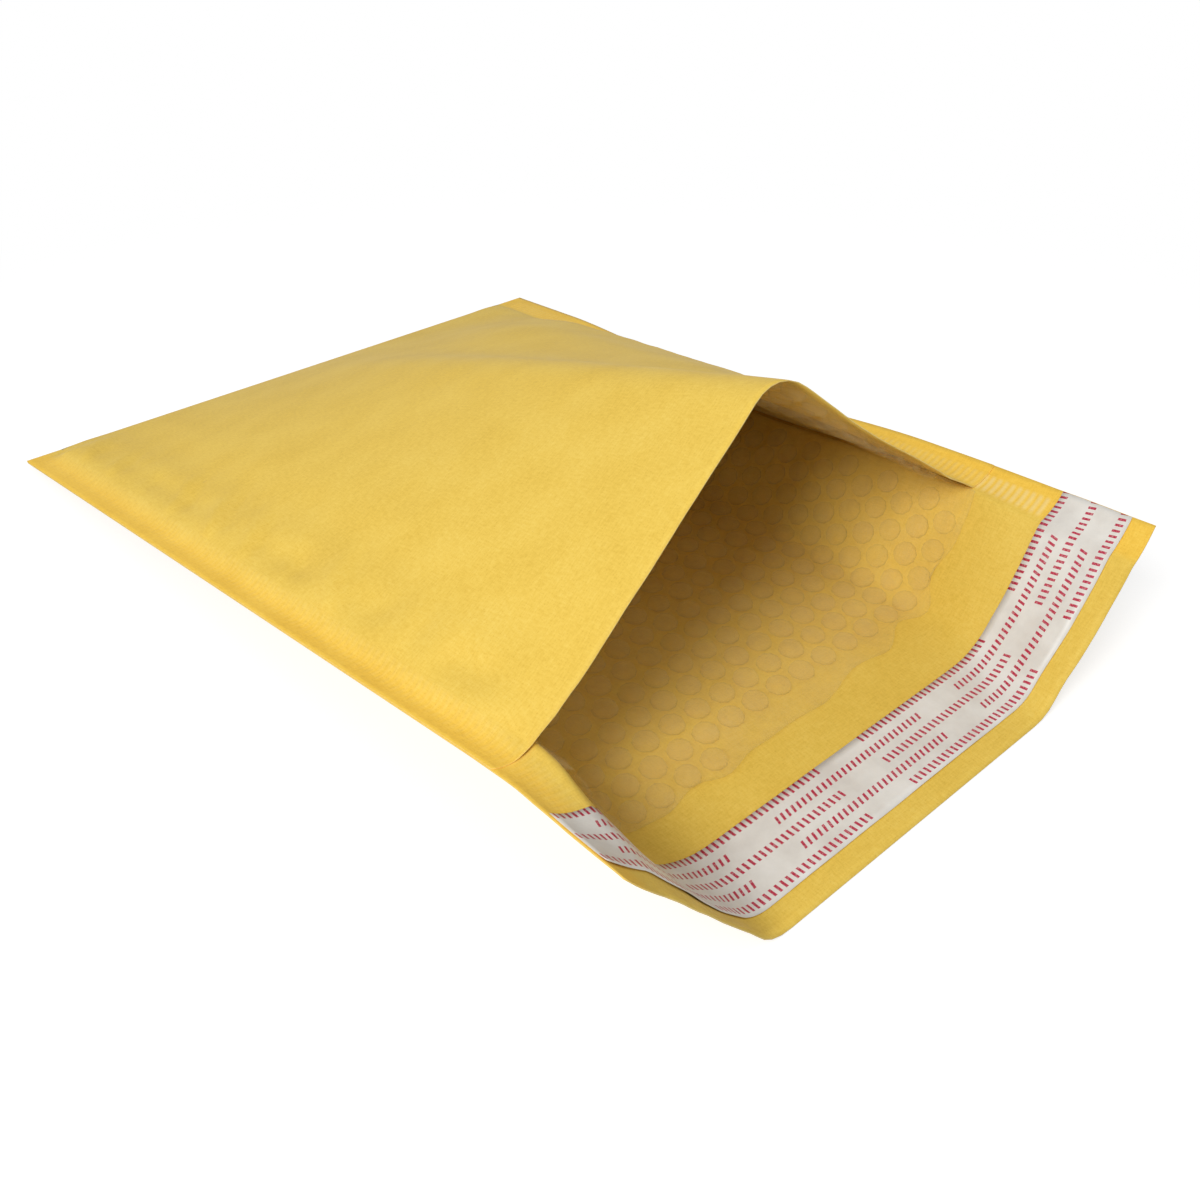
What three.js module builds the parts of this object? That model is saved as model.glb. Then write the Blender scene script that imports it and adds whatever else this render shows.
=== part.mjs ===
// Padded mailing envelope, lying open: one folded kraft web with sealed side seams,
// one folded bubble lining, and a closing flap that carries an adhesive band under
// its release strip. Millimetres, +Z up, closed end towards +Y, flap towards -Y.
// The origin is on the table, under the middle of the mouth line.
import * as THREE from "three";
import { mergeVertices } from "three/addons/utils/BufferGeometryUtils.js";

const degree = Math.PI / 180;

// Flat sheet
const sheetWidth = 275;
const bodyLength = 323;
const flapLength = 63;
const paperThickness = 0.5;

// Side seams: both panels are pressed together along this margin
const sealWidth = 15;
const pinchRun = 3;

// Crimp ridges pressed across the seam margins and the margins of the flap
const crimpPitch = 2.8;
const crimpHeight = 0.5;
const crimpBorder = 4;
const crimpFade = 2;

// Bubble lining
const liningThickness = 3;
const liningSeat = 0.3;
const liningSlit = 0.4;
const liningSideInset = 4;
const liningSideWall = 1;
const liningOverhang = 13;
const liningTopSetback = 2;

// Release strip and the adhesive under it, on the inside of the flap
const stripBorder = 8;
const stripWidth = 26;
const stripThickness = 0.3;
const stripSeat = 0.25;
const adhesiveThickness = 0.3;
const adhesiveInset = 4;

// Closed end: the folded edge presses the padding flat, and thins out to the seams
const endThickness = 4.4;
const padShoulder = 22;

// Mouth: heights of the seams above the table and the way the paper bends to them
const leftSeamLift = 37;
const leftWallAngle = 88 * degree;
const leftWallBend = 10;
const leftWingStart = -28 * degree;
const leftWingEnd = 36 * degree;
const rightSeamLift = 40;
const rightWallAngle = 40 * degree;
const rightWallBend = 25;
const rightWingStart = -25 * degree;
const rightWingEnd = 18 * degree;

// Mouth: the lifted panel stands as a tent with a rounded ridge
const ridgeOffset = 15;
const ridgeRadius = 14;
const leftFlankCrown = 11 * degree;
const rightFlankCrown = -8 * degree;

// Flap: both corners curl up from the table
const leftCornerLift = 58;
const leftCurlAngle = 51 * degree;
const leftCurlRadius = 23;
const rightCornerLift = 49;
const rightCurlAngle = 39.5 * degree;
const rightCurlRadius = 27;

// Mesh density
const columnStep = 7;
const bodyRows = 6;
const foldRows = 6;

const webGap = paperThickness + liningSeat;
const foldDepth = endThickness / 2;
const foldLine = bodyLength - foldDepth;
const sealedThickness = 2 * paperThickness;

// A section is walked across the paper. Each step follows a length of paper (run)
// while the heading changes evenly by an angle (turn), so the width never stretches.
function advance(from, run, turn) {
  if (Math.abs(turn) < 1e-9) {
    const x = from.x + run * Math.cos(from.heading);
    const z = from.z + run * Math.sin(from.heading);
    return { x, z, heading: from.heading };
  }
  const radius = run / turn;
  const heading = from.heading + turn;
  const x = from.x + radius * (Math.sin(heading) - Math.sin(from.heading));
  const z = from.z - radius * (Math.cos(heading) - Math.cos(from.heading));
  return { x, z, heading };
}

function walk(start, steps) {
  const legs = [];
  let place = start;
  let covered = 0;
  for (const step of steps) {
    legs.push({ ...step, place, covered });
    place = advance(place, step.run, step.turn);
    covered += step.run;
  }
  return (u) => {
    const leg = legs.findLast((candidate) => candidate.covered <= u) ?? legs[0];
    const part = u - leg.covered;
    return advance(leg.place, part, leg.turn * part / leg.run);
  };
}

// Moves a section so that the middle of the sheet is at x = 0 and lies on the table.
function settle(section) {
  const middle = section(sheetWidth / 2);
  return (u) => {
    const place = section(u);
    return { x: place.x - middle.x, z: place.z - middle.z, heading: place.heading };
  };
}

function straightRun(lift, angle, bend) {
  return (lift - bend * (1 - Math.cos(angle))) / Math.sin(angle);
}

// Bottom panel across the mouth: seam, wall, floor, wall, seam.
function makeMouthFloor() {
  const leftWall = straightRun(leftSeamLift, leftWallAngle, leftWallBend);
  const rightWall = straightRun(rightSeamLift, rightWallAngle, rightWallBend);
  const steps = [
    { run: sealWidth, turn: leftWingEnd - leftWingStart },
    { run: pinchRun, turn: -leftWallAngle - leftWingEnd },
    { run: leftWall, turn: 0 },
    { run: leftWallBend * leftWallAngle, turn: leftWallAngle },
    { run: 0, turn: 0 },
    { run: rightWallBend * rightWallAngle, turn: rightWallAngle },
    { run: rightWall, turn: 0 },
    { run: pinchRun, turn: rightWingStart - rightWallAngle },
    { run: sealWidth, turn: rightWingEnd - rightWingStart },
  ];
  steps[4].run = sheetWidth - steps.reduce((sum, step) => sum + step.run, 0);
  return settle(walk({ x: 0, z: 0, heading: leftWingStart }, steps));
}

// Free edge of the flap: curled corner, floor, curled corner.
function makeFlapEnd() {
  const steps = [
    { run: straightRun(leftCornerLift, leftCurlAngle, leftCurlRadius), turn: 0 },
    { run: leftCurlRadius * leftCurlAngle, turn: leftCurlAngle },
    { run: 0, turn: 0 },
    { run: rightCurlRadius * rightCurlAngle, turn: rightCurlAngle },
    { run: straightRun(rightCornerLift, rightCurlAngle, rightCurlRadius), turn: 0 },
  ];
  steps[2].run = sheetWidth - steps.reduce((sum, step) => sum + step.run, 0);
  return settle(walk({ x: 0, z: 0, heading: -leftCurlAngle }, steps));
}

// Inner face of a section: the point moved off the paper, to the left of the walk.
function offPaper(place, distance) {
  return {
    x: place.x - distance * Math.sin(place.heading),
    z: place.z + distance * Math.cos(place.heading),
    heading: place.heading,
  };
}

// Top panel across the mouth: it shares the seams with the bottom panel, and the
// free width between them stands as a tent whose ridge is set by that width.
function makeMouthRoof(floor) {
  const left = offPaper(floor(sealWidth), sealedThickness);
  const right = offPaper(floor(sheetWidth - sealWidth), sealedThickness);
  const freeWidth = sheetWidth - 2 * sealWidth;
  const tent = (ridgeHeight) => {
    const rise = Math.atan2(ridgeHeight - left.z, ridgeOffset - left.x);
    const fall = Math.atan2(right.z - ridgeHeight, right.x - ridgeOffset);
    const trim = ridgeRadius * Math.tan((rise - fall) / 2);
    const leftFlank = Math.hypot(ridgeOffset - left.x, ridgeHeight - left.z) - trim;
    const rightFlank = Math.hypot(right.x - ridgeOffset, ridgeHeight - right.z) - trim;
    const ridgeRun = ridgeRadius * (rise - fall);
    const length = leftFlank + ridgeRun + rightFlank;
    return { rise, fall, leftFlank, rightFlank, ridgeRun, length };
  };
  let low = Math.max(left.z, right.z);
  let high = low + freeWidth;
  for (let pass = 0; pass < 50; pass += 1) {
    const middle = (low + high) / 2;
    if (tent(middle).length < freeWidth) low = middle;
    else high = middle;
  }
  const shape = tent(low);
  const start = { x: left.x, z: left.z, heading: shape.rise + leftFlankCrown / 2 };
  const afterLeft = shape.rise - leftFlankCrown / 2;
  const beforeRight = shape.fall + rightFlankCrown / 2;
  const span = walk(start, [
    { run: shape.leftFlank, turn: -leftFlankCrown },
    { run: shape.ridgeRun, turn: beforeRight - afterLeft },
    { run: shape.rightFlank, turn: -rightFlankCrown },
  ]);
  // The crowned flanks are a hair shorter than the straight ones: the rest is shared out.
  const end = span(freeWidth);
  const slackX = right.x - end.x;
  const slackZ = right.z - end.z;
  return (u) => {
    if (u <= sealWidth || u >= sheetWidth - sealWidth) return offPaper(floor(u), sealedThickness);
    const share = (u - sealWidth) / freeWidth;
    const place = span(u - sealWidth);
    return { x: place.x + slackX * share, z: place.z + slackZ * share, heading: place.heading };
  };
}

const mouthFloor = makeMouthFloor();
const mouthRoof = makeMouthRoof(mouthFloor);
const flapEnd = makeFlapEnd();

// Thickness of the closed end at a distance across the sheet.
function endHeight(u) {
  const fromSeam = Math.min(u, sheetWidth - u) - sealWidth;
  const share = THREE.MathUtils.clamp(fromSeam / padShoulder, 0, 1);
  return sealedThickness + (endThickness - sealedThickness) * Math.sin(share * Math.PI / 2);
}

// Both panels are ruled: straight lines of paper run from the folded edge to the mouth,
// each as long as the panel, so a line that rises or leans ends further back.
function ruledEnd(from, place, length) {
  const dx = place.x - from.x;
  const dz = place.z - from.z;
  const reach = Math.sqrt(length * length - dx * dx - dz * dz);
  return new THREE.Vector3(place.x, from.y - reach, place.z);
}

function foldPoint(u, height) {
  return new THREE.Vector3(u - sheetWidth / 2, foldLine, height);
}

function bottomOuter(u, s) {
  const fold = foldPoint(u, 0);
  const mouth = ruledEnd(fold, mouthFloor(u), foldLine);
  if (s >= 0) return mouth.lerp(fold, s / foldLine);
  const corner = ruledEnd(mouth, flapEnd(u), flapLength);
  return mouth.lerp(corner, -s / flapLength);
}

function topOuter(u, s) {
  const fold = foldPoint(u, endHeight(u));
  const mouth = ruledEnd(fold, mouthRoof(u), foldLine);
  return mouth.lerp(fold, s / foldLine);
}

// Point of a panel at a depth below its outer face, towards the inside of the pouch.
function panelPoint(surface, side, u, s, depth) {
  const point = surface(u, s);
  if (depth === 0) return point;
  const reach = 0.5;
  const u0 = Math.max(u - reach, 0);
  const u1 = Math.min(u + reach, sheetWidth);
  const s0 = surface === topOuter ? Math.max(s - reach, 0) : s - reach;
  const s1 = Math.min(s + reach, foldLine);
  const across = surface(u1, s).sub(surface(u0, s));
  const along = surface(u, s1).sub(surface(u, s0));
  const inward = across.cross(along).normalize().multiplyScalar(side);
  return point.addScaledVector(inward, depth);
}

// The web runs from the flap, under the pouch, round the fold and back over the top.
// A row of it is a place on the bottom panel, on the fold or on the top panel.
function webRows(bottomStart, topEnd, panelRows) {
  const rows = [];
  const stations = [];
  for (let i = 0; i <= panelRows; i += 1) stations.push(foldLine * i / panelRows);
  const inner = stations.filter((s) => s > topEnd + 1);
  const panel = [topEnd, ...inner];
  for (const s of bottomStart) rows.push({ part: "flap", s });
  for (const s of panel) rows.push({ part: "bottom", s });
  for (let i = 1; i < foldRows; i += 1) {
    rows.push({ part: "fold", angle: -Math.PI / 2 + Math.PI * i / foldRows });
  }
  for (const s of panel.toReversed()) rows.push({ part: "top", s });
  return rows;
}

function webPoint(u, row, depth) {
  if (row.part === "top") return panelPoint(topOuter, -1, u, row.s, depth);
  if (row.part !== "fold") return panelPoint(bottomOuter, 1, u, row.s, depth);
  const half = endHeight(u) / 2;
  const y = foldLine + (foldDepth - depth) * Math.cos(row.angle);
  const z = half + (half - depth) * Math.sin(row.angle);
  return new THREE.Vector3(u - sheetWidth / 2, y, z);
}

// Columns across the sheet: the seam margins are kept as whole columns.
function spaced(from, to, step) {
  const count = Math.max(1, Math.round((to - from) / step));
  return Array.from({ length: count + 1 }, (_, i) => from + (to - from) * i / count);
}

const liningLeft = sealWidth + liningSideInset;
const liningRight = sheetWidth - liningLeft;
const liningColumns = spaced(liningLeft, liningRight, columnStep);
const crimpLines = [crimpBorder, crimpBorder + crimpFade, sealWidth - crimpFade, sealWidth];
const leftMargin = [0, ...crimpLines];
const rightMargin = leftMargin.map((u) => sheetWidth - u).toReversed();
const sheetColumns = [...leftMargin, ...liningColumns, ...rightMargin];

// Collects quads, seen from outside with their corners anticlockwise, into one closed mesh.
class Skin {
  constructor() {
    this.corners = [];
  }

  quad(a, b, c, d) {
    this.corners.push(a, b, c, a, c, d);
  }

  triangle(a, b, c, outward) {
    if (outward) this.corners.push(a, b, c);
    else this.corners.push(a, c, b);
  }

  // Two points on one side of a stretch, and a finer line of points on the other side.
  fan(near, far, line, outward) {
    const middle = Math.floor(line.length / 2);
    for (let k = 0; k + 1 < line.length; k += 1) {
      this.triangle(k < middle ? near : far, line[k + 1], line[k], outward);
    }
    this.triangle(near, far, line[middle], outward);
  }

  // A grid of points as a surface. Both sides of a sheet are split along the same corners.
  grid(points, outward, isLeftOut = () => false) {
    for (let r = 0; r + 1 < points.length; r += 1) {
      for (let c = 0; c + 1 < points[r].length; c += 1) {
        if (isLeftOut(r, c)) continue;
        const [a, b] = [points[r][c], points[r][c + 1]];
        const [d, e] = [points[r + 1][c], points[r + 1][c + 1]];
        if (outward) this.quad(a, d, e, b);
        else this.quad(a, b, e, d);
      }
    }
  }

  // A strip between two lines of points.
  strip(first, second) {
    for (let i = 0; i + 1 < first.length; i += 1) {
      this.quad(first[i], first[i + 1], second[i + 1], second[i]);
    }
  }

  geometry() {
    const loose = new THREE.BufferGeometry().setFromPoints(this.corners);
    const merged = mergeVertices(loose, 1e-4);
    const index = merged.getIndex().array;
    const kept = [];
    for (let i = 0; i < index.length; i += 3) {
      const [a, b, c] = [index[i], index[i + 1], index[i + 2]];
      if (a !== b && b !== c && c !== a) kept.push(a, b, c);
    }
    merged.setIndex(kept);
    merged.computeVertexNormals();
    return merged;
  }
}

// Distances of the flap's bands from the mouth line, from the free edge inwards.
const stripOuter = -flapLength + stripBorder;
const stripInner = stripOuter + stripWidth;
const adhesiveStops = [stripOuter + adhesiveInset, stripInner - adhesiveInset];
const stripStops = [stripOuter, ...adhesiveStops, stripInner];
const flapStops = [-flapLength, ...stripStops, -liningOverhang];

// Ridges between two rows of a seam margin. The cell beside the sheet's edge and the
// cell beside the pouch stay flat and take up the finer line of points.
function crimpStretch(skin, points, rows, r, columns, pointAt, outward) {
  const [from, to] = [rows[r].s, rows[r + 1].s];
  const ridges = Math.max(1, Math.round(Math.abs(to - from) / crimpPitch));
  const line = (c, raised) => {
    const count = raised ? 2 * ridges : ridges;
    return Array.from({ length: count + 1 }, (_, k) => {
      if (k === 0) return points[r][c];
      if (k === count) return points[r + 1][c];
      const row = { part: rows[r].part, s: from + (to - from) * k / count };
      return pointAt(sheetColumns[c], row, raised && k % 2 === 1 ? crimpHeight : 0);
    });
  };
  const [edge, low, high, highFar, lowFar, pouch] = columns;
  const lines = [line(low, false), line(high, true), line(highFar, true), line(lowFar, false)];
  skin.fan(points[r][edge], points[r + 1][edge], lines[0], outward);
  skin.fan(points[r][pouch], points[r + 1][pouch], lines[3], !outward);
  for (let m = 0; m < ridges; m += 1) {
    skin.fan(lines[0][m], lines[0][m + 1], lines[1].slice(2 * m, 2 * m + 3), outward);
    skin.fan(lines[3][m], lines[3][m + 1], lines[2].slice(2 * m, 2 * m + 3), !outward);
  }
  for (let k = 0; k < 2 * ridges; k += 1) {
    const [a, b, d, e] = [lines[1][k], lines[2][k], lines[1][k + 1], lines[2][k + 1]];
    skin.triangle(a, d, e, outward);
    skin.triangle(a, e, b, outward);
  }
}

// The kraft web: one sheet from the free edge of the flap, under the pouch, round the
// closed end and back to the mouth, with its margins pressed into one double layer.
function makeKraftShell() {
  const rows = webRows(flapStops, 0, bodyRows);
  const mouthRow = flapStops.length;
  const lastRow = rows.length - 1;
  const mirror = (r) => lastRow - (r - mouthRow);
  const first = leftMargin.length - 1;
  const last = sheetColumns.length - rightMargin.length;
  const outer = rows.map((row) => sheetColumns.map((u) => webPoint(u, row, 0)));
  const skin = new Skin();

  // Crimped stretches: from the release strip to the fold, and back on the top panel.
  const right = sheetColumns.length - 1;
  const leftBand = [0, 1, 2, 3, 4, 5];
  const rightBand = leftBand.map((c) => right - c);
  const inBand = (c) => c < 5 || c >= right - 5;
  const isCrimped = (r) => {
    const [a, b] = [rows[r], rows[r + 1]];
    return a.part !== "fold" && b.part !== "fold" && a.s >= stripInner;
  };
  const raisedOuter = (u, row, lift) => webPoint(u, row, row.part === "top" ? -lift : lift);
  const raisedInner = (u, row, lift) => webPoint(u, row, paperThickness + lift);
  skin.grid(outer, true, (r, c) => isCrimped(r) && inBand(c));
  for (let r = 0; r < lastRow; r += 1) {
    if (!isCrimped(r)) continue;
    crimpStretch(skin, outer, rows, r, leftBand, raisedOuter, true);
    crimpStretch(skin, outer, rows, r, rightBand, raisedOuter, false);
  }

  // Inside of the pouch: the two panels meet on the inner line of each seam.
  const inner = rows.map((row, r) => sheetColumns.map((u, c) => {
    if (r <= mouthRow) return webPoint(u, row, paperThickness);
    if (c > first && c < last) return webPoint(u, row, paperThickness);
    if (row.part === "fold") return webPoint(u, row, paperThickness);
    return null;
  }));
  for (let r = mouthRow + 1; r <= lastRow; r += 1) {
    for (const c of [first, last]) {
      if (rows[r].part === "fold") continue;
      inner[r][c] = outer[r][c].clone().lerp(outer[mirror(r)][c], 0.5);
    }
  }
  for (const c of [first, last]) inner[mouthRow][c] = inner[lastRow][c];
  const pouch = inner.slice(mouthRow).map((line) => line.slice(first, last + 1));
  const flap = inner.slice(0, mouthRow + 1);
  skin.grid(pouch, false);
  skin.grid(flap, false, (r, c) => isCrimped(r) && inBand(c));
  for (let r = 0; r < mouthRow; r += 1) {
    if (!isCrimped(r)) continue;
    crimpStretch(skin, inner, rows, r, leftBand, raisedInner, false);
    crimpStretch(skin, inner, rows, r, rightBand, raisedInner, true);
  }

  // Cut edge of the top panel across the mouth, and the free edge of the flap.
  const rim = sheetColumns.map((u, c) => (c >= first && c <= last ? inner[lastRow][c] : inner[mouthRow][c]));
  skin.strip(rim, outer[lastRow]);
  skin.strip(outer[0], inner[0]);

  // Cut edges along both sides.
  for (let r = 0; r < mouthRow; r += 1) {
    skin.quad(outer[r][0], inner[r][0], inner[r + 1][0], outer[r + 1][0]);
    skin.quad(outer[r][right], outer[r + 1][right], inner[r + 1][right], inner[r][right]);
  }
  skin.quad(outer[mouthRow][0], inner[mouthRow][0], outer[lastRow][0], outer[lastRow][0]);
  skin.quad(outer[mouthRow][right], outer[lastRow][right], outer[lastRow][right], inner[mouthRow][right]);
  for (let r = mouthRow; r < mirror(r) - 1; r += 1) {
    const m = mirror(r);
    skin.quad(outer[r][0], outer[m][0], outer[m - 1][0], outer[r + 1][0]);
    skin.quad(outer[r][right], outer[r + 1][right], outer[m - 1][right], outer[m][right]);
  }
  return skin.geometry();
}

// The bubble lining: a folded web inside the kraft one. It thins towards the seams,
// and the bottom panel's lining reaches out over the flap.
function makeLining() {
  const rows = webRows([-liningOverhang, 0], liningTopSetback, bodyRows);
  const mouthRow = 2;
  const lastRow = rows.length - 1;
  const mirror = (r) => lastRow - (r - mouthRow);
  const innerColumns = liningColumns.slice();
  innerColumns[0] += liningSideWall;
  innerColumns[innerColumns.length - 1] -= liningSideWall;
  const room = (u, row) => {
    if (row.part === "fold") return endHeight(u) / 2;
    const s = Math.max(row.s, 0);
    return bottomOuter(u, s).distanceTo(topOuter(u, s)) / 2;
  };
  const innerDepth = (u, row) => {
    const spare = room(u, row) - webGap - liningSlit / 2;
    return webGap + Math.min(liningThickness, spare);
  };
  const outer = rows.map((row) => liningColumns.map((u) => webPoint(u, row, webGap)));
  const inner = rows.map((row) => innerColumns.map((u) => webPoint(u, row, innerDepth(u, row))));
  const skin = new Skin();
  skin.grid(outer, true);
  skin.grid(inner, false);
  skin.strip(inner[lastRow], outer[lastRow]);
  skin.strip(outer[0], inner[0]);
  const right = liningColumns.length - 1;
  for (let r = 0; r < mouthRow; r += 1) {
    skin.quad(outer[r][0], inner[r][0], inner[r + 1][0], outer[r + 1][0]);
    skin.quad(outer[r][right], outer[r + 1][right], inner[r + 1][right], inner[r][right]);
  }
  skin.quad(outer[mouthRow][0], inner[mouthRow][0], inner[lastRow][0], outer[lastRow][0]);
  skin.quad(outer[mouthRow][right], outer[lastRow][right], inner[lastRow][right], inner[mouthRow][right]);
  for (let r = mouthRow; r < mirror(r) - 1; r += 1) {
    const m = mirror(r);
    skin.quad(outer[r][0], outer[m][0], outer[m - 1][0], outer[r + 1][0]);
    skin.quad(inner[r][0], inner[r + 1][0], inner[m - 1][0], inner[m][0]);
    skin.quad(outer[r][right], outer[r + 1][right], outer[m - 1][right], outer[m][right]);
    skin.quad(inner[r][right], inner[m][right], inner[m - 1][right], inner[r + 1][right]);
  }
  return skin.geometry();
}

// A band that lies on the inside of the flap, between two depths.
function makeBand(columns, stops, nearDepth, farDepth) {
  const rows = stops.map((s) => ({ part: "flap", s }));
  const outer = rows.map((row) => columns.map((u) => webPoint(u, row, nearDepth)));
  const inner = rows.map((row) => columns.map((u) => webPoint(u, row, farDepth)));
  const end = rows.length - 1;
  const right = columns.length - 1;
  const skin = new Skin();
  skin.grid(outer, true);
  skin.grid(inner, false);
  skin.strip(outer[0], inner[0]);
  skin.strip(inner[end], outer[end]);
  for (let r = 0; r < end; r += 1) {
    skin.quad(outer[r][0], inner[r][0], inner[r + 1][0], outer[r + 1][0]);
    skin.quad(outer[r][right], outer[r + 1][right], inner[r + 1][right], inner[r][right]);
  }
  return skin.geometry();
}

// The adhesive stops one column short of the sides.
function makeAdhesiveStrip() {
  const near = paperThickness + stripSeat;
  return makeBand(sheetColumns.slice(1, -1), adhesiveStops, near, near + adhesiveThickness);
}

function makeReleaseLiner() {
  const near = paperThickness + 2 * stripSeat + adhesiveThickness;
  return makeBand(sheetColumns, stripStops, near, near + stripThickness);
}

const kraft = new THREE.MeshStandardMaterial({ color: 0xe0b455, roughness: 0.72, metalness: 0 });
const bubbleFilm = new THREE.MeshStandardMaterial({ color: 0xd9cfb8, roughness: 0.25, metalness: 0 });
const hotMelt = new THREE.MeshStandardMaterial({ color: 0xe8dcae, roughness: 0.4, metalness: 0 });
const releasePaper = new THREE.MeshStandardMaterial({ color: 0xece6dc, roughness: 0.45, metalness: 0 });

function addPiece(name, geometry, material) {
  const mesh = new THREE.Mesh(geometry, material);
  mesh.name = name;
  envelope.add(mesh);
}

const envelope = new THREE.Group();
addPiece("kraft_shell", makeKraftShell(), kraft);
addPiece("bubble_lining", makeLining(), bubbleFilm);
addPiece("adhesive_strip", makeAdhesiveStrip(), hotMelt);
addPiece("release_liner", makeReleaseLiner(), releasePaper);

export default envelope;
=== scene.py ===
import math

import bpy
import numpy as np
from mathutils import Matrix


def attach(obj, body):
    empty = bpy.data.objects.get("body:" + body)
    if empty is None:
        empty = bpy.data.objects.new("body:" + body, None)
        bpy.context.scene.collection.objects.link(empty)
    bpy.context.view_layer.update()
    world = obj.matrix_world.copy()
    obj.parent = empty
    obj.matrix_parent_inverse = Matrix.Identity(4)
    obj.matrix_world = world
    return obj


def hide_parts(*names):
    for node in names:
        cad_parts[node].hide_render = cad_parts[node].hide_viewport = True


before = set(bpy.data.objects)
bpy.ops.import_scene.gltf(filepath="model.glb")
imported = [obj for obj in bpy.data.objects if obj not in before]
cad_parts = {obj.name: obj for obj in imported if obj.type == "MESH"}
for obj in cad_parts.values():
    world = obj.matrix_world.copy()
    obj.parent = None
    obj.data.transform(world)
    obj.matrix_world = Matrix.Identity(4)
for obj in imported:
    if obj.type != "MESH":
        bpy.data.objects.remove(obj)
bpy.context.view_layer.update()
print("stage: packed frame loaded")

mm = 0.001
degree = math.pi / 180

# All sizes of the sheet are in millimetres; meshes are scaled to metres when they are made.
sheetCut = dict(width=275, body=323, flap=63, seal=15, pinch=3, paper=0.35, sealed=0.8)
closedEnd = dict(thickness=4.4, shoulder=22, cornerRise=2.5)
mouthPose = dict(
    leftLift=37.2, leftWall=73, leftBend=10, leftWing=(-27, 25),
    rightLift=37.6, rightWall=56, rightBend=12, rightWing=(-7, 37),
    ridgeOffset=10, ridgeRadius=18, leftCrown=6, rightCrown=-7, across=5.8,
)
flapPose = dict(
    leftLift=56.5, leftCurl=50.5, leftRadius=15,
    rightLift=49.2, rightCurl=41.3, rightRadius=15, across=1,
)
# Where the pouch departs from straight lines of paper, in millimetres or in shares of its length.
pouchFill = dict(
    fullness=0.2, sideFullness=13, sideRise=(0.01, 0.36), sideFall=(0.66, 0.985),
    sideEdge=20, sideFade=(40, 110),
    marginSag=3.5, sagInset=(12, 42), sagStart=(30, 110), sagEnd=(190, 270), easeHold=25,
)
flapBands = dict(strip=(29, 55), adhesive=(33, 51))  # distances from the mouth line

width = sheetCut["width"]
seal = sheetCut["seal"]
foldDepth = closedEnd["thickness"] / 2
foldLine = sheetCut["body"] - foldDepth


def smooth(value, low, high):
    share = np.clip((value - low) / (high - low), 0, 1)
    return share * share * (3 - 2 * share)


def bump(value, centre, spread):
    return np.exp(-(((value - centre) / spread) ** 2))


# A section is walked across the paper in runs of constant bend, so its width never changes.
def walk(start, steps):
    legs, place, covered = [], start, 0.0
    for run, turn in steps:
        legs.append((covered, *place, run, turn))
        x, z, heading = place
        chord, aim = run * np.sinc(turn / 2 / math.pi), heading + turn / 2
        place = (x + chord * math.cos(aim), z + chord * math.sin(aim), heading + turn)
        covered += run
    legs = np.array(legs)

    def section(u):
        u = np.asarray(u, float)
        index = np.clip(np.searchsorted(legs[:, 0], u, side="right") - 1, 0, len(legs) - 1)
        begin, x, z, heading, run, turn = np.moveaxis(legs[index], -1, 0)
        part = u - begin
        bend = turn * part / run
        chord = part * np.sinc(bend / 2 / math.pi)
        return x + chord * np.cos(heading + bend / 2), z + chord * np.sin(heading + bend / 2), heading + bend

    return section


def settled(section, across=0):
    middleX, middleZ, _ = section(width / 2)

    def moved(u):
        x, z, heading = section(u)
        return x - middleX + across, z - middleZ, heading

    return moved


def straightRun(lift, angle, radius):
    return (lift - radius * (1 - math.cos(angle))) / math.sin(angle)


def mouthFloorSection(pose):
    leftWall, rightWall = pose["leftWall"] * degree, pose["rightWall"] * degree
    leftIn, leftOut = (a * degree for a in pose["leftWing"])
    rightIn, rightOut = (a * degree for a in pose["rightWing"])
    steps = [
        (seal, leftOut - leftIn),
        (sheetCut["pinch"], -leftWall - leftOut),
        (straightRun(pose["leftLift"], leftWall, pose["leftBend"]), 0),
        (pose["leftBend"] * leftWall, leftWall),
        (0, 0),
        (pose["rightBend"] * rightWall, rightWall),
        (straightRun(pose["rightLift"], rightWall, pose["rightBend"]), 0),
        (sheetCut["pinch"], rightIn - rightWall),
        (seal, rightOut - rightIn),
    ]
    steps[4] = (width - sum(run for run, _ in steps), 0)
    return settled(walk((0, 0, leftIn), steps), pose["across"])


def flapEndSection(pose):
    left, right = pose["leftCurl"] * degree, pose["rightCurl"] * degree
    steps = [
        (straightRun(pose["leftLift"], left, pose["leftRadius"]), 0),
        (pose["leftRadius"] * left, left),
        (0, 0),
        (pose["rightRadius"] * right, right),
        (straightRun(pose["rightLift"], right, pose["rightRadius"]), 0),
    ]
    steps[2] = (width - sum(run for run, _ in steps), 0)
    return settled(walk((0, 0, -left), steps), pose["across"])


def offPaper(x, z, heading, distance):
    return x - distance * np.sin(heading), z + distance * np.cos(heading)


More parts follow.
